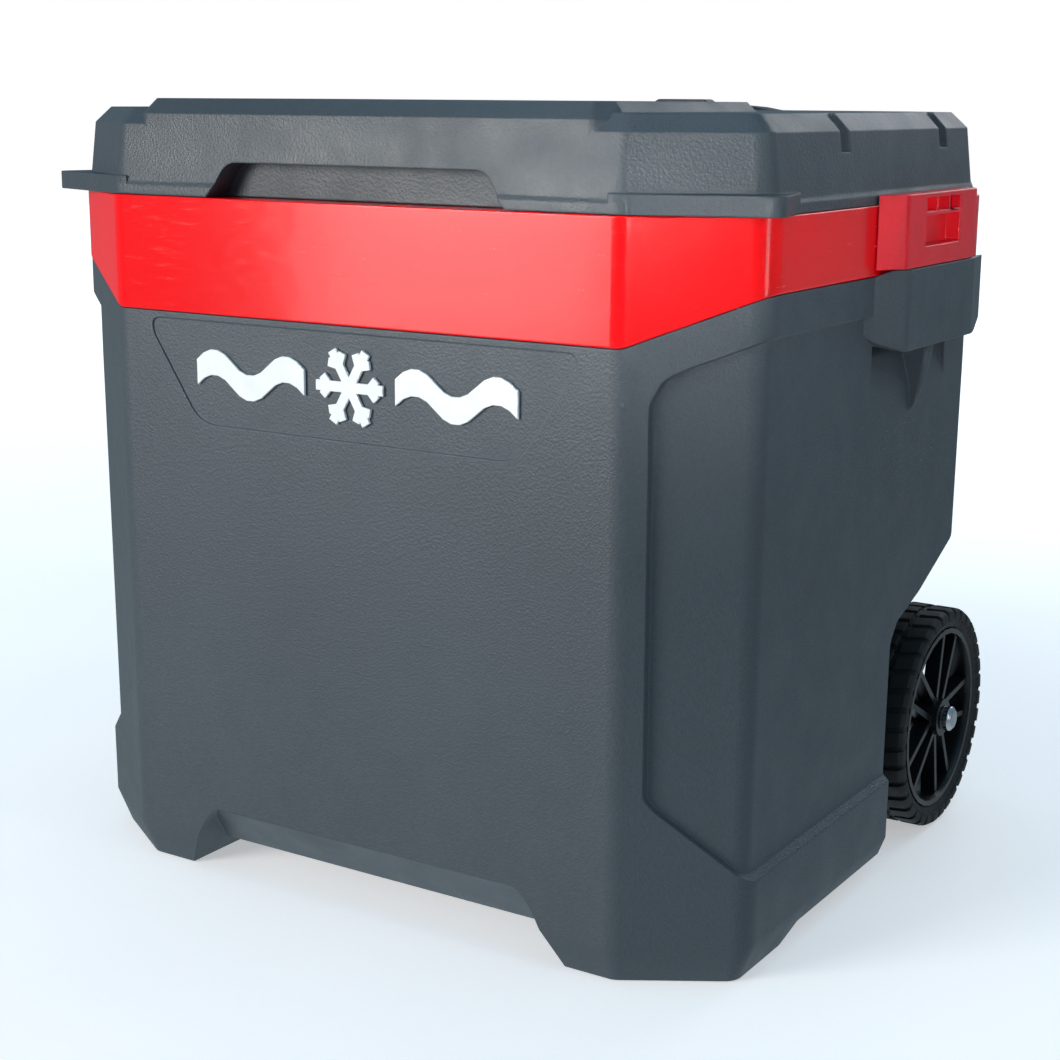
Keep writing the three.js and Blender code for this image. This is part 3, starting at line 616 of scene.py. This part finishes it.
# ---- materials ----
class Look:
    """A node material with one Principled shader."""

    def __init__(self, name, **sockets):
        self.material = bpy.data.materials.new(name)
        self.material.use_nodes = True
        self.tree = self.material.node_tree
        self.tree.nodes.clear()
        self.out = self.add("ShaderNodeOutputMaterial")
        self.shader = self.add("ShaderNodeBsdfPrincipled")
        self.link(self.shader.outputs[0], self.out.inputs[0])
        for key, value in sockets.items():
            self.shader.inputs[key.replace("_", " ")].default_value = value
        self.where = self.add("ShaderNodeTexCoord").outputs["Object"]

    def add(self, kind, **values):
        node = self.tree.nodes.new(kind)
        for key, value in values.items():
            setattr(node, key, value)
        return node

    def link(self, source, target):
        self.tree.links.new(source, target)

    def noise(self, scale, detail=2.0, roughness=0.5, stretch=None):
        node = self.add("ShaderNodeTexNoise")
        node.inputs["Scale"].default_value = scale
        node.inputs["Detail"].default_value = detail
        node.inputs["Roughness"].default_value = roughness
        where = self.where
        if stretch:
            mapping = self.add("ShaderNodeMapping")
            mapping.inputs["Scale"].default_value = stretch
            self.link(where, mapping.inputs["Vector"])
            where = mapping.outputs["Vector"]
        self.link(where, node.inputs["Vector"])
        return node.outputs["Fac"]

    def cells(self, scale):
        node = self.add("ShaderNodeTexVoronoi")
        node.inputs["Scale"].default_value = scale
        self.link(self.where, node.inputs["Vector"])
        return node.outputs["Distance"]

    def spread(self, value, low, high, to_low=0.0, to_high=1.0):
        node = self.add("ShaderNodeMapRange")
        for key, number in (("From Min", low), ("From Max", high), ("To Min", to_low), ("To Max", to_high)):
            node.inputs[key].default_value = number
        self.link(value, node.inputs["Value"])
        return node.outputs["Result"]

    def blend(self, factor, one, two):
        node = self.add("ShaderNodeMix", data_type="RGBA")
        for socket, value in ((node.inputs[0], factor), (node.inputs[6], one), (node.inputs[7], two)):
            if isinstance(value, (tuple, float, int)):
                socket.default_value = value
            else:
                self.link(value, socket)
        return node.outputs[2]

    def maths(self, operation, one, two):
        node = self.add("ShaderNodeMath", operation=operation)
        for socket, value in ((node.inputs[0], one), (node.inputs[1], two)):
            if isinstance(value, (float, int)):
                socket.default_value = value
            else:
                self.link(value, socket)
        return node.outputs[0]

    def edges(self, radius):
        """1 along edges that turn within radius, 0 on flats."""
        rounded = self.add("ShaderNodeBevel", samples=4)
        rounded.inputs["Radius"].default_value = radius
        plain = self.add("ShaderNodeNewGeometry")
        dot = self.add("ShaderNodeVectorMath", operation="DOT_PRODUCT")
        self.link(rounded.outputs[0], dot.inputs[0])
        self.link(plain.outputs["Normal"], dot.inputs[1])
        return self.spread(dot.outputs["Value"], 0.995, 0.86)

    def fillet(self, radius):
        """Shading normal that rounds every edge over the radius."""
        rounded = self.add("ShaderNodeBevel", samples=6)
        rounded.inputs["Radius"].default_value = radius
        return rounded.outputs[0]

    def colour(self, value):
        self.link(value, self.shader.inputs["Base Color"])

    def rough(self, value):
        self.link(value, self.shader.inputs["Roughness"])

    def bump(self, height, distance, strength=1.0, onto=None):
        node = self.add("ShaderNodeBump")
        node.inputs["Strength"].default_value = strength
        node.inputs["Distance"].default_value = distance
        self.link(height, node.inputs["Height"])
        if onto is not None:
            self.link(onto, node.inputs["Normal"])
        self.link(node.outputs[0], self.shader.inputs["Normal"])


def shade(hexes, lift=1.0):
    """sRGB hex to a linear colour."""
    parts = [int(hexes[i:i + 2], 16) / 255 for i in (0, 2, 4)]
    linear = [p / 12.92 if p <= 0.04045 else ((p + 0.055) / 1.055) ** 2.4 for p in parts]
    return tuple(min(v * lift, 1.0) for v in linear) + (1.0,)


def grained_plastic(name, base, roughness=0.5, depth=0.00022, grain=620, edge_wear_and_highlight=0.35, fillet=0.0):
    """Moulded plastic with a fine pebble grain, faint clouding, and paler edges: a painted highlight along
    the edges, broken into patches like wear.
    """
    look = Look(name, IOR=1.48)
    cloud = look.spread(look.noise(5, 3), 0.3, 0.7)
    fleck = look.spread(look.noise(grain * 0.6, 2), 0.35, 0.7)
    tone = look.blend(cloud, shade(base, 0.92), shade(base, 1.08))
    tone = look.blend(look.maths("MULTIPLY", fleck, 0.16), tone, shade(base, 1.7))
    # paler edges: painted highlight where the edges catch light, patchy like real wear
    if edge_wear_and_highlight:
        patchy = look.spread(look.noise(60, 3), 0.3, 0.75, 0.35, 1.0)
        edge = look.maths("MULTIPLY", look.edges(0.0018), patchy)
        tone = look.blend(look.maths("MULTIPLY", edge, edge_wear_and_highlight), tone, shade(base, 2.1))
    look.colour(tone)
    look.rough(look.spread(look.noise(35, 4), 0.3, 0.7, roughness - 0.05, roughness + 0.06))
    pebble = look.maths("ADD", look.cells(grain), look.maths("MULTIPLY", look.noise(grain * 1.9, 2), 0.6))
    look.bump(pebble, depth, 0.8, look.fillet(fillet) if fillet else None)
    return look.material


def gloss_plastic(name, base, roughness=0.16, coat=0.5):
    """Polished moulded plastic: slight waviness, hairline scuffs and a little dust in its sheen."""
    look = Look(name, IOR=1.5, Coat_Weight=coat, Coat_Roughness=0.06)
    cloud = look.spread(look.noise(4, 2), 0.3, 0.7)
    look.colour(look.blend(cloud, shade(base, 0.95), shade(base, 1.04)))
    scuffs = look.spread(look.noise(40, 5, 0.7, (1, 1, 9)), 0.56, 0.72, 0, 0.16)
    dust = look.spread(look.noise(700, 2), 0.55, 0.75, 0, 0.08)
    look.rough(look.maths("ADD", look.maths("ADD", scuffs, dust), roughness))
    wave = look.maths("ADD", look.noise(26, 2), look.maths("MULTIPLY", look.noise(300, 2), 0.02))
    look.bump(wave, 0.00035, 0.5)
    return look.material


def metal(name, base, roughness, brushed):
    """Bare metal with fine drawn lines along the given axis scales and a faint cloudiness."""
    look = Look(name, Metallic=1.0)
    cloud = look.spread(look.noise(30, 3), 0.3, 0.7)
    look.colour(look.blend(cloud, shade(base, 0.85), shade(base, 1.05)))
    lines = look.noise(160, 4, 0.6, brushed)
    look.rough(look.spread(lines, 0.3, 0.7, roughness - 0.07, roughness + 0.12))
    look.bump(lines, 0.00006, 0.35)
    return look.material


def rubber(name, base):
    look = Look(name, IOR=1.5)
    cloud = look.spread(look.noise(18, 4), 0.35, 0.7)
    look.colour(look.blend(cloud, shade(base, 0.8), shade(base, 1.5)))
    look.rough(look.spread(look.noise(90, 4), 0.3, 0.7, 0.62, 0.82))
    look.bump(look.noise(900, 3), 0.0002, 0.5)
    return look.material


def foam(name):
    look = Look(name, IOR=1.3)
    pores = look.cells(420)
    look.colour(look.blend(look.spread(pores, 0.1, 0.6), shade("c9b983"), shade("efe6c2")))
    look.rough(look.spread(look.noise(60, 3), 0.3, 0.7, 0.88, 0.98))
    look.bump(pores, 0.0008, 0.8)
    return look.material


def white_liner(name):
    look = Look(name, IOR=1.48)
    cloud = look.spread(look.noise(7, 3), 0.3, 0.7)
    look.colour(look.blend(cloud, shade("dfe2e1"), shade("f1f3f2")))
    look.rough(look.spread(look.noise(40, 4), 0.3, 0.7, 0.27, 0.4))
    ripple = look.maths("ADD", look.noise(160, 2), look.maths("MULTIPLY", look.noise(1200, 1), 0.2))
    look.bump(ripple, 0.00015, 0.4, look.fillet(0.0018))
    return look.material


def enamel(name):
    """Thick white print on the front: clean, faintly uneven."""
    look = Look(name, IOR=1.5)
    look.colour(look.blend(look.spread(look.noise(60, 3), 0.35, 0.7), shade("f0f4f5"), shade("fbfcfc")))
    look.rough(look.spread(look.noise(150, 3), 0.3, 0.7, 0.32, 0.46))
    look.bump(look.noise(500, 2), 0.0001, 0.5)
    return look.material


SLATE = grained_plastic("slate_body", "444c52", 0.46, fillet=0.0013)
LID_GREY = grained_plastic("lid_grey", "40484e", 0.44, 0.0002, 560, fillet=0.0018)
RED_GLOSS = gloss_plastic("red_gloss", "ff0008", 0.14, 0.0)
RED_SATIN = grained_plastic("red_satin", "ee1426", 0.36, 0.00012, 800, 0.15, fillet=0.001)
BLACK = grained_plastic("black_plastic", "17191b", 0.42, 0.00015, 700, 0.25, fillet=0.0015)
WHEEL_BLACK = grained_plastic("wheel_black", "121416", 0.3, 0.00006, 900, 0.3, fillet=0.0008)
TYRE = rubber("tyre_rubber", "1b1d1f")
SEAL = rubber("drain_seal", "26292a")
STEEL = metal("bright_steel", "c3c6c9", 0.24, (1, 1, 1))
PIN_STEEL = metal("pin_steel", "b4b8bb", 0.3, (0.1, 1, 1))
TUBE = metal("drawn_tube", "9ba0a4", 0.32, (1, 1, 0.04))
FOAM = foam("blown_foam")
LINER = white_liner("white_liner")
ENAMEL = enamel("white_enamel")


# ---- pieces ----
def finish_mesh(mesh, name):
    """Millimetres to metres in the frame, coplanar faces joined."""
    mesh.transform(Matrix.Translation((0, -MID_Y / 1000, 0)) @ Matrix.Scale(0.001, 4))
    work = bmesh.new()
    work.from_mesh(mesh)
    bmesh.ops.remove_doubles(work, verts=work.verts, dist=1.0e-4)
    bmesh.ops.dissolve_limit(work, angle_limit=math.radians(0.12), verts=work.verts, edges=work.edges)
    for face in work.faces:
        face.smooth = True
    work.to_mesh(mesh)
    work.free()
    mesh.name = name
    return mesh


def folded(mesh):
    """Largest area by which a face's triangles cover more than the face itself: a fold."""
    mesh.calc_loop_triangles()
    covered = [0.0] * len(mesh.polygons)
    for triangle in mesh.loop_triangles:
        covered[triangle.polygon_index] += triangle.area
    return max(area - face.area for area, face in zip(covered, mesh.polygons))


def soften(item, width, segments, fold_limit):
    """Rounds the edges by width millimetres, or by the widest step below that which folds no face."""
    bevel = item.modifiers.new("edges", "BEVEL")
    bevel.segments = segments
    bevel.limit_method = "ANGLE"
    bevel.angle_limit = math.radians(EDGE_ANGLE)
    bevel.use_clamp_overlap = False
    bevel.miter_outer = "MITER_SHARP"
    sharp = item.data
    limit = max(fold_limit, folded(sharp) * 1.2)
    for step in range(WIDTH_STEPS):
        bevel.width = width / 1000 * WIDTH_STEP ** step
        bpy.context.view_layer.update()
        mesh = bpy.data.meshes.new_from_object(item.evaluated_get(bpy.context.evaluated_depsgraph_get()))
        if folded(mesh) < limit or step == WIDTH_STEPS - 1:
            break
        bpy.data.meshes.remove(mesh)
    item.modifiers.clear()
    item.data = mesh
    bpy.data.meshes.remove(sharp)
    even_normals(mesh)


def even_normals(mesh, reach=0.64):
    """Corner normals: the area-weighted mean of the faces round a corner that lean the same way."""
    around = [[] for _ in mesh.vertices]
    for face in mesh.polygons:
        entry = (face.normal.copy(), face.area)
        for corner in face.vertices:
            around[corner].append(entry)
    normals = []
    for face in mesh.polygons:
        own = face.normal.copy()
        for corner in face.vertices:
            total = own * 1e-12
            for other, area in around[corner]:
                if own.dot(other) > reach:
                    total += other * area
            normals.append(total.normalized())
    mesh.normals_split_custom_set(normals)


def piece(name, mesh, body, look, replaces, width, segments=3, fold_limit=FOLD_LIMIT):
    item = bpy.data.objects.new(name, finish_mesh(mesh, name))
    scene.collection.objects.link(item)
    item.data.materials.clear()
    item.data.materials.append(look)
    soften(item, width, segments, fold_limit)
    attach(item, body)
    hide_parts(*replaces)


def rounded(node, look, width):
    """A CAD node's own shape with its edges rounded."""
    mesh = frame["nodes"][node].data.copy()
    mesh.transform(Matrix.Scale(1000, 4))
    mesh.transform(Matrix.Translation((0, MID_Y, 0)))
    bodies = frame["record"]["behaviour"]["bodies"]
    body = next(name for name, members in bodies.items() if node in members)
    piece(node + "_round", mesh, body, look, replaces=[node], width=width, segments=2)


piece(
    "shell", outer_shell(), "body", SLATE, replaces=["outer_shell"], width=0.5, segments=2,
    fold_limit=SHELL_FOLD_LIMIT,
)
piece("collar", top_collar(), "body", RED_GLOSS, replaces=["top_collar"], width=1.2)
piece("lid", lid_shell(), "lid", LID_GREY, replaces=["lid_shell"], width=1.2, segments=2)
piece("tub_liner", inner_liner(), "body", LINER, replaces=["inner_liner"], width=0.5, segments=2)
piece("lid_pan", lid_liner(), "lid", LINER, replaces=["lid_liner"], width=0.4, segments=2)
piece("grip_block_right", side_handle(), "body", RED_SATIN, replaces=["side_handle_right"], width=1.0)
piece(
    "grip_block_left", mirrored(side_handle()), "body", RED_SATIN, replaces=["side_handle_left"], width=1.0,
)
piece("tread_right", tyre(), "wheel_right", TYRE, replaces=["tyre_right"], width=0.5)
piece("tread_left", mirrored(tyre()), "wheel_left", TYRE, replaces=["tyre_left"], width=0.5)
for side, x in (("left", -TUBE_X), ("right", TUBE_X)):
    sleeve, slider = tube(x, 10, 122, 506), tube(x, 8.3, 128, 538)
    piece("sleeve_" + side, sleeve, "body", TUBE, replaces=["outer_tube_" + side], width=0.3)
    piece("rod_" + side, slider, "pull_handle", STEEL, replaces=["inner_tube_" + side], width=0.3)
for key, look, width in (
    ("rim_left", WHEEL_BLACK, 0.8), ("rim_right", WHEEL_BLACK, 0.8),
    ("axle_cap_left", STEEL, 0.6), ("axle_cap_right", STEEL, 0.6),
    ("axle_bracket_left", BLACK, 1.2), ("axle_bracket_right", BLACK, 1.2),
    ("handle_top_bracket", BLACK, 2.0), ("handle_bottom_bracket", BLACK, 2.0),
    ("grip", BLACK, 2.4), ("release_button", BLACK, 1.2),
    ("hinge_body_left", BLACK, 0.7), ("hinge_body_right", BLACK, 0.7),
    ("drain_cap", SLATE, 0.9), ("drain_spout", LINER, 0.6),
    ("emblem_snowflake", ENAMEL, 0.5),
    ("emblem_wave_left", ENAMEL, 0.5), ("emblem_wave_right", ENAMEL, 0.5),
):
    rounded(key, look, width)

# ---- carried nodes: the first name that a node's own name starts with gives its look ----
CARRIED = {
    "foam_core": FOAM, "lid_foam": FOAM, "drain_nut": LINER, "drain_gasket": SEAL, "axle": PIN_STEEL,
    "washer": STEEL, "button_spring": STEEL, "bracket_screw": STEEL, "hinge_pin": PIN_STEEL,
    "hinge_body_screw": STEEL, "hinge_lid_screw": STEEL, "hinge_lid": BLACK,
}
for node_name, node in sorted(frame["nodes"].items()):
    if node.hide_render:
        continue
    kind = next(key for key in CARRIED if node_name.startswith(key))
    node.data.materials.clear()
    node.data.materials.append(CARRIED[kind])

# ---- camera ----
AZIMUTH, ELEVATION, ROLL = (math.radians(v) for v in (32.315, 12.745, 0.386))
CAMERA_AT = (0.7785, -1.2500, 0.5687)
LENS = 64.98
back = Vector((
    math.sin(AZIMUTH) * math.cos(ELEVATION), -math.cos(AZIMUTH) * math.cos(ELEVATION), math.sin(ELEVATION),
))
right = Vector((math.cos(AZIMUTH), math.sin(AZIMUTH), 0))
up = back.cross(right)
across = math.cos(ROLL) * right + math.sin(ROLL) * up
upward = -math.sin(ROLL) * right + math.cos(ROLL) * up
camera_data = bpy.data.cameras.new("camera")
camera_data.sensor_width = 36
camera_data.lens = LENS
camera = bpy.data.objects.new("camera", camera_data)
scene.collection.objects.link(camera)
place = Matrix((across, upward, back)).transposed().to_4x4()
place.translation = CAMERA_AT
camera.matrix_world = place
scene.camera = camera

# ---- stage ----
rim_points = circle(9.0, 0, 0, 96)
floor_mesh = bpy.data.meshes.new("floor")
floor_mesh.from_pydata([(x, y, -0.0005) for x, y in rim_points], [], [tuple(range(len(rim_points)))])
floor = bpy.data.objects.new("floor", floor_mesh)
scene.collection.objects.link(floor)
pale = Look("pale_floor", Roughness=0.7)
distance = pale.add("ShaderNodeVectorMath", operation="LENGTH")
pale.link(pale.where, distance.inputs[0])
pale.colour(pale.blend(pale.spread(pale.noise(3, 2), 0.3, 0.7), (0.86, 0.86, 0.86, 1), (0.9, 0.9, 0.9, 1)))
pale.shader.inputs["Emission Color"].default_value = (1, 1, 1, 1)
glow = pale.spread(distance.outputs["Value"], 0.6, 3.5, 0.42, 1.0)
pale.link(glow, pale.shader.inputs["Emission Strength"])
floor_mesh.materials.append(pale.material)

dome_work = bmesh.new()
bmesh.ops.create_uvsphere(dome_work, u_segments=48, v_segments=24, radius=12)
dome_mesh = bpy.data.meshes.new("dome")
dome_work.to_mesh(dome_mesh)
dome_work.free()
dome = bpy.data.objects.new("dome", dome_mesh)
scene.collection.objects.link(dome)
bright = Look("bright_dome")
bright.shader.inputs["Base Color"].default_value = (0, 0, 0, 1)
bright.shader.inputs["Emission Color"].default_value = (1, 1, 1, 1)
bright.shader.inputs["Emission Strength"].default_value = 1.0
dome_mesh.materials.append(bright.material)
for ray in ("diffuse", "glossy", "transmission", "shadow", "volume_scatter"):
    setattr(dome, "visible_" + ray, False)
floor.visible_diffuse = False
floor.visible_glossy = False

# ---- light ----
world = bpy.data.worlds.new("studio")
world.use_nodes = True
sky = world.node_tree
aim = sky.nodes.new("ShaderNodeTexCoord")
split = sky.nodes.new("ShaderNodeSeparateXYZ")
ramp = sky.nodes.new("ShaderNodeMapRange")
fade = sky.nodes.new("ShaderNodeValToRGB")
ramp.inputs["From Min"].default_value = -1.0
sky.links.new(aim.outputs["Generated"], split.inputs[0])
sky.links.new(split.outputs["Z"], ramp.inputs["Value"])
sky.links.new(ramp.outputs["Result"], fade.inputs[0])
sky.links.new(fade.outputs[0], sky.nodes["Background"].inputs[0])
fade.color_ramp.elements[0].color = (0.62, 0.73, 0.82, 1)
fade.color_ramp.elements[1].color = (0.18, 0.35, 0.50, 1)
for at, tint in ((0.45, (0.20, 0.25, 0.28, 1)), (0.55, (0.17, 0.22, 0.26, 1))):
    fade.color_ramp.elements.new(at).color = tint
scene.world = world
scene.view_settings.view_transform = "Standard"


def softbox(name, at, aim, width, height, power, colour=(1, 1, 1)):
    data = bpy.data.lights.new(name, "AREA")
    data.shape = "RECTANGLE"
    data.size = width
    data.size_y = height
    data.energy = power
    data.color = colour
    item = bpy.data.objects.new(name, data)
    item.location = at
    item.rotation_mode = "QUATERNION"
    item.rotation_quaternion = (Vector(aim) - Vector(at)).to_track_quat("-Z", "Y")
    scene.collection.objects.link(item)
    return item


softbox("key", (-1.25, -2.75, 0.95), (0, -0.2, 0.3), 1.3, 0.9, 56, (1.0, 0.96, 0.92))
softbox("front_glint", (-1.25, -2.2, 0.55), (0, -0.2, 0.35), 0.62, 1.0, 8)
softbox("overhead", (0.0, -0.2, 2.6), (0, 0, 0.3), 2.4, 1.6, 5, (0.6, 0.85, 1.0))
corner = softbox("corner", (1.0, -1.75, 0.62), (0.25, -0.22, 0.52), 0.3, 0.12, 0.15)
corner.data.spread = math.radians(14)
softbox("side", (2.2, -0.3, 0.8), (0.2, 0, 0.3), 0.35, 1.3, 5)
softbox("rear", (0.3, 2.4, 1.4), (0, 0.1, 0.3), 1.6, 1.2, 14)
